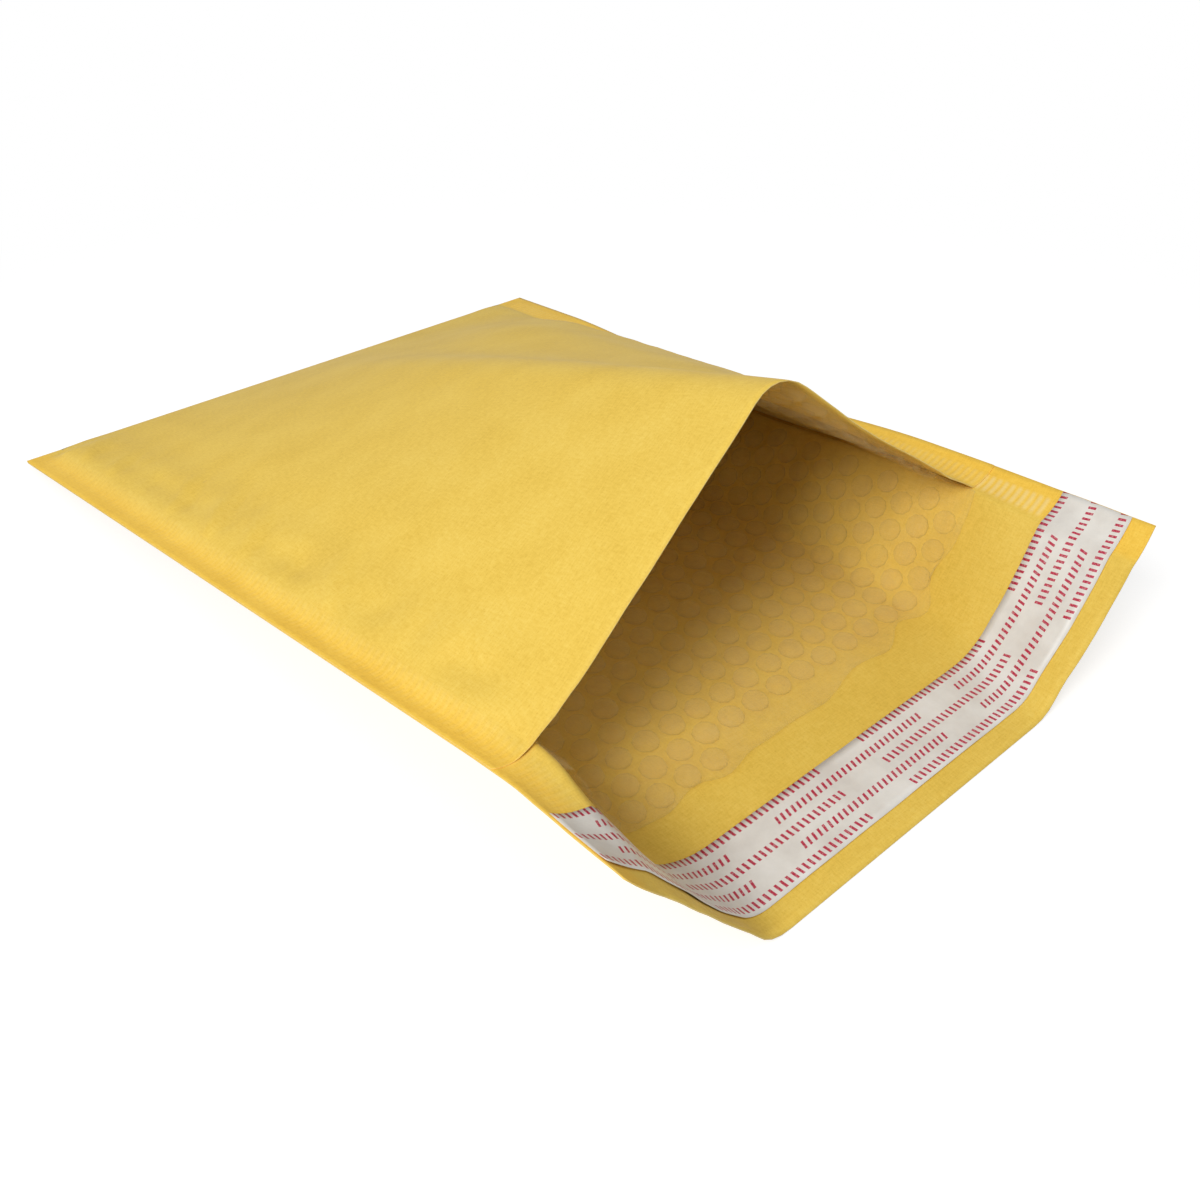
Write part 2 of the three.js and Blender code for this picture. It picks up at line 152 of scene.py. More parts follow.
# The lifted panel is a tent between the two seams; its ridge stands as high as the free width allows.
def mouthRoofSection(floorSection, pose):
    leftX, leftZ = offPaper(*floorSection(seal), sheetCut["sealed"])
    rightX, rightZ = offPaper(*floorSection(width - seal), sheetCut["sealed"])
    free = width - 2 * seal
    ridgeX, radius = pose["ridgeOffset"] + pose["across"], pose["ridgeRadius"]

    def tent(ridgeZ):
        rise = math.atan2(ridgeZ - leftZ, ridgeX - leftX)
        fall = math.atan2(rightZ - ridgeZ, rightX - ridgeX)
        trim = radius * math.tan((rise - fall) / 2)
        left = math.hypot(ridgeX - leftX, ridgeZ - leftZ) - trim
        right = math.hypot(rightX - ridgeX, rightZ - ridgeZ) - trim
        return rise, fall, left, right, radius * (rise - fall)

    low, high = max(leftZ, rightZ), max(leftZ, rightZ) + free
    for _ in range(50):
        middle = (low + high) / 2
        if sum(tent(middle)[2:]) < free:
            low = middle
        else:
            high = middle
    rise, fall, left, right, ridge = tent(low)
    leftCrown, rightCrown = pose["leftCrown"] * degree, pose["rightCrown"] * degree
    ridgeTurn = fall + rightCrown / 2 - rise + leftCrown / 2
    runs = [(left, -leftCrown), (ridge, ridgeTurn), (right, -rightCrown)]
    span = walk((leftX, leftZ, rise + leftCrown / 2), runs)
    endX, endZ, _ = span(free)

    def roof(u):
        u = np.asarray(u, float)
        x, z, heading = floorSection(u)
        seamX, seamZ = offPaper(x, z, heading, sheetCut["sealed"])
        spanX, spanZ, _ = span(np.clip(u - seal, 0, free))
        share = np.clip((u - seal) / free, 0, 1)
        onSeam = (u <= seal) | (u >= width - seal)
        roofX = np.where(onSeam, seamX, spanX + (rightX - endX) * share)
        roofZ = np.where(onSeam, seamZ, spanZ + (rightZ - endZ) * share)
        return roofX, roofZ

    return roof


mouthFloor = mouthFloorSection(mouthPose)
mouthRoof = mouthRoofSection(mouthFloor, mouthPose)
flapEnd = flapEndSection(flapPose)


def endHeight(u):
    share = np.clip((np.minimum(u, width - u) - seal) / closedEnd["shoulder"], 0, 1)
    return sheetCut["sealed"] + (closedEnd["thickness"] - sheetCut["sealed"]) * np.sin(share * math.pi / 2)


def endRise(u):
    # the seams stand a little off the floor at the two corners of the closed end
    inset = np.minimum(u, width - u)
    return closedEnd["cornerRise"] * (1 - smooth(inset, seal, seal + closedEnd["shoulder"]))


def stack(x, y, z):
    return np.stack(np.broadcast_arrays(x, y, z), -1).astype(float)


# Straight lines of paper run from the folded edge to the mouth, each as long as the panel.
def ruled(start, x, z, length):
    dx, dz = x - start[..., 0], z - start[..., 2]
    return stack(x, start[..., 1] - np.sqrt(length * length - dx * dx - dz * dz), z)


def marginSag(u, s, fill=pouchFill):
    # the right seam droops a little between its two ends
    along = smooth(s, *fill["sagStart"]) * (1 - smooth(s, *fill["sagEnd"]))
    near, far = fill["sagInset"]
    return fill["marginSag"] * smooth(u, width - far, width - near) * along


mouthEase = 14  # the flap leaves the pouch in a soft bend, this far either side of the mouth line


def bottomFace(u, s):
    fold = stack(u - width / 2, foldLine, endRise(u))
    x, z, _ = mouthFloor(u)
    mouth = ruled(fold, x, z, foldLine)
    x, z, _ = flapEnd(u)
    corner = ruled(mouth, x, z, sheetCut["flap"])
    s = np.asarray(s, float)[..., None]
    inner, outer = (fold - mouth) / foldLine, (mouth - corner) / sheetCut["flap"]
    plain = mouth + np.where(s >= 0, inner, outer) * s
    plain[..., 2] -= marginSag(u, s[..., 0])
    eased = mouth + (inner + outer) / 2 * s + (inner - outer) * (s * s + mouthEase ** 2) / (4 * mouthEase)
    return np.where(np.abs(s) < mouthEase, eased, plain), eased - plain


def topFace(u, s, fill=pouchFill):
    fold = stack(u - width / 2, foldLine, endRise(u) + endHeight(u))
    x, z = mouthRoof(u)
    mouth = ruled(fold, x, z, foldLine)
    face = mouth + (fold - mouth) * np.asarray(s, float)[..., None] / foldLine
    # the pouch is a little fuller halfway down than straight lines would make it
    share = np.clip(np.asarray(s, float) / foldLine, 0, 1)
    face[..., 2] += fill["fullness"] * share * (1 - share) * (z - mouthFloor(u)[1])
    face[..., 2] -= marginSag(u, np.asarray(s, float))
    # and fuller again beside the right seam
    fadeFrom, fadeTo = (seal + place for place in fill["sideFade"])
    side = smooth(width - u, seal, seal + fill["sideEdge"]) * (1 - smooth(width - u, fadeFrom, fadeTo))
    rise, fall = smooth(share, *fill["sideRise"]), smooth(share, *fill["sideFall"])
    face[..., 2] += fill["sideFullness"] * side * rise * (1 - fall)
    _, ease = bottomFace(u, s)
    hold = 1 - smooth(np.minimum(u, width - u), seal, seal + fill["easeHold"])
    nearMouth = np.abs(np.asarray(s, float)) < mouthEase
    return face + ease * (nearMouth * hold)[..., None]


# Band-limited random ripples across the sheet, the same on every run.
def ripple(u, s, size, seed, acrossStretch=1.0, count=26):
    random = np.random.default_rng(seed)
    angle = random.uniform(0, 2 * math.pi, count)
    pace = 2 * math.pi / size * random.uniform(0.7, 1.35, count)
    phase = random.uniform(0, 2 * math.pi, count)
    total = 0
    for a, k, p in zip(angle, pace, phase):
        total = total + np.cos(k * (np.cos(a) * u * acrossStretch + np.sin(a) * s) + p)
    return total * math.sqrt(2 / count)


# Each ripple's size in millimetres and its seed.
ripples = dict(
    crimps=(34, 5), trough=(52, 3), broad=(95, 11), fine=(24, 12), dents=(12, 13), mouthWave=(60, 21),
    flapBroad=(48, 31), flapFine=(15, 32), filmLift=(21, 41), filmEdge=(26, 43), stripEdge=(30, 51),
)

kraftLook = dict(
    crimpPitch=2.8, crimpLeft=0.1, crimpRight=0.42, crimpFrom=4, crimpFade=1.6, crimpTo=(2.4, 0.4),
    crimpStart=(0.6, 3), crimpEnd=(8, 3), crimpSlant=0.05, crimpUneven=(0.85, 0.25),
    shoulder=3.6, shoulderRight=1.1, shoulderIn=(-5, 0), shoulderRise=(-3, 5), shoulderFall=(7, 36),
    shoulderAtMouth=(0.3, 0.7), mouthRun=30,
    trough=1.8, troughPlace=14, troughSpread=6, troughUneven=(0.45, 0.55, 1.4),
    broad=0.1, fine=0.04, fineStretch=1.4, dents=0.13, dentsPlace=10, dentsSpread=13,
    mouthWave=0.3, mouthWaveFade=(4, 60), flapBroad=0.22, flapFine=0.06, flapShare=0.8,
    # where the relief dies away: near the seams, the fold, the floor and the mouth line
    seamFade=(1, 22), bottomSeamFade=15, foldFade=(30, 6), foldEdgeFade=(12, 2),
    floorFade=(2, 12), flapFade=(-20, 10),
    creaseInset=2, creaseRise=(-2, 7), creaseTail=0.35,
    # creases that run in from the left seam: place along the seam, angle, length, half width, depth
    creases=[
        (291, 52, 34, 2.6, 0.9), (266, 46, 30, 2.4, 1.0), (240, 40, 24, 2.0, 0.6),
        (211, 40, 36, 2.6, 1.3), (179, 44, 42, 2.8, 1.4), (155, 38, 36, 2.4, 1.1),
        (128, 42, 26, 2.4, 0.7), (97, 45, 34, 3.2, 1.0), (60, 30, 26, 3.4, 0.6),
    ],
)


def crimpPress(u, s, look=kraftLook):
    inset = np.minimum(u, width - u)
    band = smooth(inset, look["crimpFrom"], look["crimpFrom"] + look["crimpFade"])
    outer, inner = look["crimpTo"]
    band = band * (1 - smooth(inset, seal - outer, seal - inner))
    stripLine = -flapBands["strip"][0]  # the crimps run from the release strip to the closed end
    begin, full = look["crimpStart"]
    fade, end = look["crimpEnd"]
    along = smooth(s, stripLine + begin, stripLine + full) * (1 - smooth(s, foldLine - fade, foldLine - end))
    wave = np.cos(2 * math.pi * (s + look["crimpSlant"] * inset) / look["crimpPitch"])
    return band * along * (0.5 + 0.5 * wave)


def crimpRelief(u, s, look=kraftLook):
    height = np.where(u < width / 2, look["crimpLeft"], look["crimpRight"])
    level, change = look["crimpUneven"]
    return crimpPress(u, s) * height * (level + change * ripple(u * 0, s, *ripples["crimps"]))


def creaseRelief(u, s, look=kraftLook):
    total = np.zeros(np.broadcast(u, s).shape)
    for start, angle, length, spread, depth in look["creases"]:
        du, ds = u - (seal + look["creaseInset"]), s - start
        along = du * math.cos(angle * degree) + ds * math.sin(angle * degree)
        across = -du * math.sin(angle * degree) + ds * math.cos(angle * degree)
        reach = smooth(along, *look["creaseRise"]) * (1 - smooth(along, length * look["creaseTail"], length))
        total += depth * reach * (bump(across, spread, spread) - bump(across, -spread, spread))
    return total


# How far the paper of the top panel stands out from its plain shape.
def topRelief(u, s, look=kraftLook):
    inset = np.minimum(u, width - u)
    seamFrom, seamTo = (seal + place for place in look["seamFade"])
    foldFrom, foldTo = (foldLine - place for place in look["foldFade"])
    edgeFrom, edgeTo = (foldLine - place for place in look["foldEdgeFade"])
    inside = smooth(inset, seamFrom, seamTo) * (1 - smooth(s, foldFrom, foldTo))
    endFade = 1 - smooth(s, edgeFrom, edgeTo)
    # the padding rounds over beside the seam, with an uneven trough behind it
    shoulder = np.where(u < width / 2, look["shoulder"], look["shoulderRight"])
    beside = inset - seal - np.where(u < width / 2, *look["shoulderIn"])
    padded = shoulder * smooth(beside, *look["shoulderRise"]) * (1 - smooth(beside, *look["shoulderFall"]))
    level, change, most = look["troughUneven"]
    uneven = np.clip(level + change * ripple(u * 0, s, *ripples["trough"]), 0, most)
    hollow = look["trough"] * bump(beside, look["troughPlace"], look["troughSpread"]) * uneven
    atMouth, gain = look["shoulderAtMouth"]
    mouthFade = atMouth + gain * smooth(s, 0, look["mouthRun"])
    padded = (padded - hollow * shoulder / look["shoulder"]) * endFade * mouthFade
    fine = ripple(u, s, *ripples["fine"], look["fineStretch"])
    soft = look["broad"] * ripple(u, s, *ripples["broad"]) + look["fine"] * fine
    nearSeam = bump(inset, seal + look["dentsPlace"], look["dentsSpread"])
    dents = look["dents"] * ripple(u, s, *ripples["dents"]) * nearSeam
    wave = ripple(u, s * 0, *ripples["mouthWave"])
    mouthWave = look["mouthWave"] * wave * (1 - smooth(s, *look["mouthWaveFade"])) * inside
    creased = creaseRelief(u, s, look) * endFade
    return padded + (soft + dents) * inside + creased + mouthWave + crimpRelief(u, s)


def bottomRelief(u, s, look=kraftLook):
    inset = np.minimum(u, width - u)
    raised = smooth(bottomFace(u, s)[0][..., 2], *look["floorFade"])
    flap = 1 - smooth(s, *look["flapFade"])
    broad, fine = ripple(u, s, *ripples["flapBroad"]), ripple(u, s, *ripples["flapFine"])
    soft = look["flapBroad"] * broad + look["flapFine"] * fine
    pouchShare = smooth(inset, seal, seal + look["bottomSeamFade"]) * (1 - flap)
    return soft * raised * (pouchShare + flap * look["flapShare"]) - crimpRelief(u, s)


# A point of one panel, at a depth under its outer face, towards the inside of the pouch.
def panelPoint(panel, u, s, depth):
    u, s = np.broadcast_arrays(np.asarray(u, float), np.asarray(s, float))
    face = topFace if panel == "top" else lambda a, b: bottomFace(a, b)[0]
    reach = 0.5
    across = face(np.minimum(u + reach, width), s) - face(np.maximum(u - reach, 0), s)
    along = face(u, np.minimum(s + reach, foldLine)) - face(u, s - reach)
    inward = np.cross(across, along)
    inward /= np.linalg.norm(inward, axis=-1, keepdims=True)
    inward = -inward if panel == "top" else inward
    relief = topRelief(u, s) if panel == "top" else bottomRelief(u, s)
    return face(u, s) + inward * (depth - relief)[..., None], inward


def foldPoint(u, angle, depth):
    half = endHeight(u) / 2
    y = foldLine + (foldDepth - depth) * np.cos(angle)
    return stack(u - width / 2, y, endRise(u) + half + (half - depth) * np.sin(angle))


# Rows of a web: stretches of (part, from, to), split evenly. The fold runs by its angle.
def webRows(stretches, step, split=1):
    rows, paper = [], 0.0
    for part, begin, end in stretches:
        length = abs(end - begin) if part != "fold" else math.pi * foldDepth
        count = max(1, round(length / step)) * split
        for k in range(count):
            rows.append((part, begin + (end - begin) * k / count, paper + length * k / count))
        paper += length
    rows.append((stretches[-1][0], stretches[-1][2], paper))
    return rows


# A web that runs from the flap over the bottom panel, round the fold and back along the top panel.
def pouchRows(flapRun, topEnd, step, split=1):
    turn = math.pi / 2
    under = [("flap", -flapRun, 0), ("bottom", 0, foldLine)]
    return webRows(under + [("fold", -turn, turn), ("top", foldLine, topEnd)], step, split)


def evenColumns(inset, step):
    return np.linspace(inset, width - inset, round((width - 2 * inset) / step) + 1)


def webPoints(columns, rows, depthOf):
    points = np.zeros((len(rows), len(columns), 3))
    parts = np.array([row[0] for row in rows])
    places = np.array([row[1] for row in rows])
    for part in ("flap", "bottom", "fold", "top"):
        chosen = parts == part
        if not chosen.any():
            continue
        u, s = np.meshgrid(columns, places[chosen])
        depth = depthOf(u, s, part) * np.ones_like(u)
        if part == "fold":
            points[chosen] = foldPoint(u, s, depth)
        else:
            points[chosen] = panelPoint("top" if part == "top" else "bottom", u, s, depth)[0]
    return points


def meshFrom(name, points, faces, uv, material):
    mesh = bpy.data.meshes.new(name)
    mesh.from_pydata((np.asarray(points) * mm).tolist(), [], faces)
    mesh.materials.append(material)
    layer = mesh.uv_layers.new(name="sheet")
    corner = np.zeros(len(mesh.loops), dtype=np.int32)
    mesh.loops.foreach_get("vertex_index", corner)
    layer.data.foreach_set("uv", (np.asarray(uv)[corner] * mm).ravel().astype(np.float32))
    mesh.shade_smooth()
    mesh.validate()
    piece = bpy.data.objects.new(name, mesh)
    bpy.context.scene.collection.objects.link(piece)
    return piece


def gridFaces(rowCount, columnCount, offset=0):
    r, c = np.meshgrid(np.arange(rowCount - 1), np.arange(columnCount - 1), indexing="ij")
    a = offset + r * columnCount + c
    return np.stack([a, a + columnCount, a + columnCount + 1, a + 1], -1).reshape(-1, 4).tolist()


def applied(piece):
    baked = bpy.data.meshes.new_from_object(piece.evaluated_get(bpy.context.evaluated_depsgraph_get()))
    piece.modifiers.clear()
    piece.data = baked
    return piece


def thicken(piece, thickness, rimMaterial=None):
    wall = piece.modifiers.new("paper", "SOLIDIFY")
    wall.thickness = thickness * mm
    wall.offset = -1
    wall.use_even_offset = False
    if rimMaterial is not None:
        piece.data.materials.append(rimMaterial)
        wall.material_offset_rim = 1
    return applied(piece)


def nodeAdder(tree):
    def add(kind, inputs=None, **settings):
        node = tree.nodes.new(kind)
        for key, value in settings.items():
            setattr(node, key, value)
        for key, value in (inputs or {}).items():
            if isinstance(value, bpy.types.NodeSocket):
                tree.links.new(value, node.inputs[key])
            else:
                node.inputs[key].default_value = value
        return node

    return add


def materialMaker(name):
    material = bpy.data.materials.new(name)
    material.use_nodes = True
    material.node_tree.nodes.clear()
    return material, nodeAdder(material.node_tree)


def ramp(add, factor, stops):
    node = add("ShaderNodeValToRGB", {"Fac": factor})
    elements = node.color_ramp.elements
    while len(elements) < len(stops):
        elements.new(0.5)
    for element, (place, colour) in zip(elements, stops):
        element.position = place
        element.color = (*colour, 1)
    return node.outputs["Color"]


def calc(add, operation, first, second=0.0):
    return add("ShaderNodeMath", {0: first, 1: second}, operation=operation).outputs[0]


def noise(add, place, scale, detail, roughness=0.5, distortion=0.0):
    look = {"Scale": scale, "Detail": detail, "Roughness": roughness, "Distortion": distortion}
    return add("ShaderNodeTexNoise", {"Vector": place, **look}).outputs["Fac"]


def mixed(add, share, first, second, blend="MIX"):
    inputs = {0: share, 6: first, 7: second}
    return add("ShaderNodeMix", inputs, data_type="RGBA", blend_type=blend).outputs[2]


def ranged(add, value, low, high, start=0.0, end=1.0):
    inputs = {"Value": value, "From Min": start, "From Max": end, "To Min": low, "To Max": high}
    return add("ShaderNodeMapRange", inputs).outputs[0]


def bumped(add, height, strength, distance):
    return add("ShaderNodeBump", {"Height": height, "Strength": strength, "Distance": distance}).outputs[0]


def surfaced(add, inputs):
    shader = add("ShaderNodeBsdfPrincipled", inputs)
    add("ShaderNodeOutputMaterial", {"Surface": shader.outputs[0]})


def sheetPlace(add):
    return add("ShaderNodeUVMap", uv_map="sheet").outputs["UV"]


kraftTones = dict(
    dark=(0.74, 0.485, 0.062), plain=(0.825, 0.562, 0.088), pale=(0.88, 0.63, 0.125), roughness=0.6,
)
cutEdgeTones = dict(
    dark=(0.78, 0.55, 0.16), plain=(0.84, 0.62, 0.2), pale=(0.9, 0.7, 0.28), roughness=0.85,
)
kraftFinish = dict(
    fibreScale=(260, 1500, 1), crossScale=(1300, 320, 1), crossTurn=0.5,
    fibreNoise=(5.0, 0.6), crossNoise=(4.0, 0.55), cloudNoise=(42.0, 4.0), speckNoise=(1900.0, 2.0),
    fibreShare=0.72, cloudShare=0.28, toneStops=(0.35, 0.5, 0.65),
    fleck=(0.80, 0.72, 0.55), fleckStops=(0.30, 0.42), fleckShare=0.5,
    # the crimp tint paints the crimp ridges paler: partly film left in the seal, partly a painted sheen
    # the seam tint is partly the seams' own deeper orange and partly painted light that brightens them
    seamDeepAndLitTint=(1.13, 1.03, 0.72), seamDeepAndLitShare=0.85, crimpPaleAndSheenTint=(0.94, 0.80, 0.42), crimpPaleAndSheenShare=0.42,
    roughSpread=(-0.07, 0.1), roughStops=(0.3, 0.7), grain=0.45, grainDepth=0.0002,
    specular=0.28, sheen=0.05, sheenRoughness=0.5,
)


def kraftMaterial(name, tones, finish=kraftFinish):
    material, add = materialMaker(name)
    place = sheetPlace(add)
    along = add("ShaderNodeMapping", {"Vector": place, "Scale": finish["fibreScale"]}).outputs["Vector"]
    crossed = {"Vector": place, "Scale": finish["crossScale"], "Rotation": (0, 0, finish["crossTurn"])}
    across = add("ShaderNodeMapping", crossed).outputs["Vector"]
    fibre = noise(add, along, 1.0, *finish["fibreNoise"])
    cross = noise(add, across, 1.0, *finish["crossNoise"])
    cloud = noise(add, place, *finish["cloudNoise"])
    speck = noise(add, place, *finish["speckNoise"])
    fibres = calc(add, "ADD", calc(add, "MULTIPLY", fibre, 0.5), calc(add, "MULTIPLY", cross, 0.5))
    tone = calc(add, "ADD", calc(add, "MULTIPLY", fibres, finish["fibreShare"]),
                 calc(add, "MULTIPLY", cloud, finish["cloudShare"]))
    colour = ramp(add, tone, list(zip(finish["toneStops"], (tones["dark"], tones["plain"], tones["pale"]))))
    flecks = ramp(add, speck, list(zip(finish["fleckStops"], (finish["fleck"], (1, 1, 1)))))
    colour = mixed(add, finish["fleckShare"], colour, flecks, "MULTIPLY")
    # the bare paper of the seams is a deeper orange than the paper over the padding, and it is also painted
    # brighter there, a painted light on the seam bands
    margin = add("ShaderNodeAttribute", attribute_name="margin").outputs["Fac"]
    deeperAndLit = mixed(add, 1.0, colour, (*finish["seamDeepAndLitTint"], 1), "MULTIPLY")
    colour = mixed(add, calc(add, "MULTIPLY", margin, finish["seamDeepAndLitShare"]), colour, deeperAndLit)
    # and paler on the crimp ridges: partly film left in the seal on the flap, partly a painted sheen on the
    # ridges
    crimpPaleAndSheen = add("ShaderNodeAttribute", attribute_name="crimpPaleAndSheen").outputs["Fac"]
    crimpPaleAndSheenShare = calc(add, "MULTIPLY", crimpPaleAndSheen, finish["crimpPaleAndSheenShare"])
    colour = mixed(add, crimpPaleAndSheenShare, colour, (*finish["crimpPaleAndSheenTint"], 1))
    low, high = (tones["roughness"] + spread for spread in finish["roughSpread"])
    grain = calc(add, "ADD", fibres, calc(add, "MULTIPLY", speck, 0.5))
    surfaced(add, {
        "Base Color": colour, "Roughness": ranged(add, fibres, low, high, *finish["roughStops"]),
        "Normal": bumped(add, grain, finish["grain"], finish["grainDepth"]),
        "Specular IOR Level": finish["specular"],
        "Sheen Weight": finish["sheen"], "Sheen Roughness": finish["sheenRoughness"],
    })
    return material


kraftPaper = kraftMaterial("kraftPaper", kraftTones)
kraftCutEdge = kraftMaterial("kraftCutEdge", cutEdgeTones)

filmFinish = dict(
    colour=(0.88, 0.70, 0.38), haze=0.07, edgeHaze=0.15, edgeBlend=0.35,
    hazeNoise=(110.0, 5.0, 0.6), hazeStops=(0.3, 0.75), puckerNoise=(420.0, 3.0), puckerDistortion=1.2,
    pucker=0.35, puckerDepth=0.0007, roughness=0.14, specular=0.6,
)


def filmMaterial(finish):
    material, add = materialMaker("bubbleFilm")
    place = sheetPlace(add)
    haze = noise(add, place, *finish["hazeNoise"])
    pucker = noise(add, place, *finish["puckerNoise"], distortion=finish["puckerDistortion"])
    facing = add("ShaderNodeLayerWeight", {"Blend": finish["edgeBlend"]}).outputs["Facing"]
    milky = ranged(add, haze, 0.0, finish["haze"], *finish["hazeStops"])
    surfaced(add, {
        "Base Color": (*finish["colour"], 1),
        "Alpha": calc(add, "ADD", milky, calc(add, "MULTIPLY", facing, finish["edgeHaze"])),
        "Normal": bumped(add, pucker, finish["pucker"], finish["puckerDepth"]),
        "Roughness": finish["roughness"], "Specular IOR Level": finish["specular"],
    })
    return material


bubbleFilm = filmMaterial(filmFinish)


hotMeltFinish = dict(
    ribs=dict(Scale=90.0, Distortion=1.5, Detail=2.0), ribBump=(0.4, 0.0003), cloudNoise=(160.0, 3.0),
    tones=((0.35, (0.74, 0.62, 0.33)), (0.65, (0.84, 0.76, 0.5))), roughness=0.3,
)


def hotMeltMaterial(finish):
    material, add = materialMaker("hotMelt")
    place = sheetPlace(add)
    ribs = add("ShaderNodeTexWave", {"Vector": place, **finish["ribs"]}, bands_direction="Y").outputs["Fac"]
    colour = ramp(add, noise(add, place, *finish["cloudNoise"]), finish["tones"])
    normal = bumped(add, ribs, *finish["ribBump"])
    surfaced(add, {"Base Color": colour, "Roughness": finish["roughness"], "Normal": normal})
    return material


hotMelt = hotMeltMaterial(hotMeltFinish)

# Rows of plain slanted red bars along the release strip, every second row set back by half a repeat.
barLook = dict(
    rowPitch=5.5, barHeight=2.7, barPitch=2.3, barShare=0.42, slant=0.5,
    repeat=88, group=69, stagger=44, start=31.0,
    ink=(0.50, 0.02, 0.06), inkShare=(0.6, 1.0), inkStops=(0.3, 0.5),
    wearNoise=(1500.0, 3.0), cloudNoise=(60.0, 5.0, 0.6), waveNoise=(130.0, 4.0), waveBump=(0.3, 0.0007),
    tones=((0.35, (0.70, 0.66, 0.60)), (0.55, (0.79, 0.76, 0.70)), (0.7, (0.84, 0.81, 0.76))),
    roughness=(0.34, 0.5),
)


def stripMaterial(look):
    material, add = materialMaker("releasePaper")
    place = sheetPlace(add)
    parts = add("ShaderNodeSeparateXYZ", {"Vector": place})

    def times(value, factor):
        return calc(add, "MULTIPLY", value, factor)

    def share(value, size):
        return calc(add, "FRACT", calc(add, "DIVIDE", value, size))

    u, v = times(parts.outputs["X"], 1000.0), times(parts.outputs["Y"], 1000.0)
    row = calc(add, "FLOOR", calc(add, "DIVIDE", v, look["rowPitch"]))
    fromMiddle = calc(add, "SUBTRACT", share(v, look["rowPitch"]), 0.5)
    halfHeight = look["barHeight"] / look["rowPitch"] / 2
    inHeight = calc(add, "LESS_THAN", calc(add, "ABSOLUTE", fromMiddle), halfHeight)
    odd = calc(add, "MODULO", row, 2.0)
    # odd rows lean the other way
    lean = times(fromMiddle, calc(add, "SUBTRACT", look["slant"] * 2, times(odd, look["slant"] * 4)))
    setBack = calc(add, "ADD", times(odd, look["stagger"]), look["start"])
    shifted = calc(add, "ADD", calc(add, "ADD", u, lean), setBack)
    inRepeat = times(share(shifted, look["repeat"]), look["repeat"])
    inGroup = calc(add, "LESS_THAN", inRepeat, look["group"])
    inBar = calc(add, "LESS_THAN", share(inRepeat, look["barPitch"]), look["barShare"])
    mark = times(times(inHeight, inGroup), inBar)
    wear = noise(add, place, *look["wearNoise"])
    ink = times(mark, ranged(add, wear, *look["inkShare"], *look["inkStops"]))
    cloud = noise(add, place, *look["cloudNoise"])
    paper = ramp(add, cloud, look["tones"])
    surfaced(add, {
        "Base Color": mixed(add, ink, paper, (*look["ink"], 1)),
        "Roughness": ranged(add, cloud, *look["roughness"]),
        "Normal": bumped(add, noise(add, place, *look["waveNoise"]), *look["waveBump"]),
    })
    return material


releasePaper = stripMaterial(barLook)
print("stage: materials ready")

kraftGrid = dict(
    margin=[0, 2, 4, 5.5, 7.5, 10, 12.5, 13.8, 15],
    pinch=[15.8, 16.6, 17.4, 18.2, 20, 22.5, 25, 28, 31.5, 35.5],
    step=4.0, row=2.8, split=5,
    pressLeft=0.15, pressRight=0.4, pressFlap=1.0,  # how pale the crimps are, partly a painted sheen
    marginLeft=(8, 11.5), marginRight=(12, 16),  # where the deeper colour and the painted light of the seams fade out
)


def kraftWeb(grid):
    rows = pouchRows(sheetCut["flap"], 0, grid["row"], grid["split"])
    left = np.array(grid["margin"], float)
    right = width - left[::-1]
    pinch = np.array(grid["pinch"], float)
    middle = evenColumns(pinch[-1], grid["step"])[1:-1]
    inner = np.concatenate([pinch, middle, width - pinch[::-1]])
    coarse = rows[::grid["split"]]
    blocks, uvs, crimpPaleAndSheenMasks, seamDeepAndLitMasks, offsets, total = [], [], [], [], [], 0
    for columns, used in ((left, rows), (inner, coarse), (right, rows)):
        points = webPoints(columns, used, lambda u, s, part: 0)
        paper = np.array([row[2] for row in used])
        blocks.append(points.reshape(-1, 3))
        uvs.append(np.stack(np.meshgrid(columns, paper), -1).reshape(-1, 2))
        u, s = np.meshgrid(columns, [row[1] for row in used])
        onLeft = u < width / 2
        onFlap = np.array([row[0] == "flap" for row in used])[:, None]
        offFold = np.array([row[0] != "fold" for row in used])[:, None]
        share = np.where(onFlap, grid["pressFlap"], grid["pressRight"])
        share = np.where(onLeft, grid["pressLeft"], share) * offFold
        # mask of the paler crimp ridges, partly painted sheen
        crimpPaleAndSheenMasks.append((crimpPress(u, s) * share).ravel())
        # mask of the seam tint: a deeper orange that is partly painted light
        begin, end = (np.where(onLeft, *pair) for pair in zip(grid["marginLeft"], grid["marginRight"]))
        seamDeepAndLitMasks.append((1 - smooth(np.minimum(u, width - u), begin, end)).ravel())
        offsets.append(total)
        total += points.shape[0] * points.shape[1]
    faces = gridFaces(len(rows), len(left), offsets[0])
    faces += gridFaces(len(coarse), len(inner), offsets[1])
    faces += gridFaces(len(rows), len(right), offsets[2])
    split, lastLeft, lastInner = grid["split"], len(left) - 1, len(inner) - 1
    for j in range(len(coarse) - 1):  # the fine rows of a margin meet the wider rows of the panel
        fine = range(j * split, (j + 1) * split + 1)
        a, b = offsets[1] + j * len(inner), offsets[1] + (j + 1) * len(inner)
        faces.append([offsets[0] + k * len(left) + lastLeft for k in fine] + [b, a])
        faces.append([a + lastInner, b + lastInner] + [offsets[2] + k * len(right) for k in reversed(fine)])
    piece = meshFrom("kraftWeb", np.concatenate(blocks), faces, np.concatenate(uvs), kraftPaper)
    for name, values in (("crimpPaleAndSheen", crimpPaleAndSheenMasks), ("margin", seamDeepAndLitMasks)):
        layer = piece.data.attributes.new(name, "FLOAT", "POINT")
        layer.data.foreach_set("value", np.concatenate(values).astype(np.float32))
    return thicken(piece, sheetCut["paper"], kraftCutEdge)


kraftPiece = kraftWeb(kraftGrid)
print("stage: kraft web,", len(kraftPiece.data.polygons), "faces")

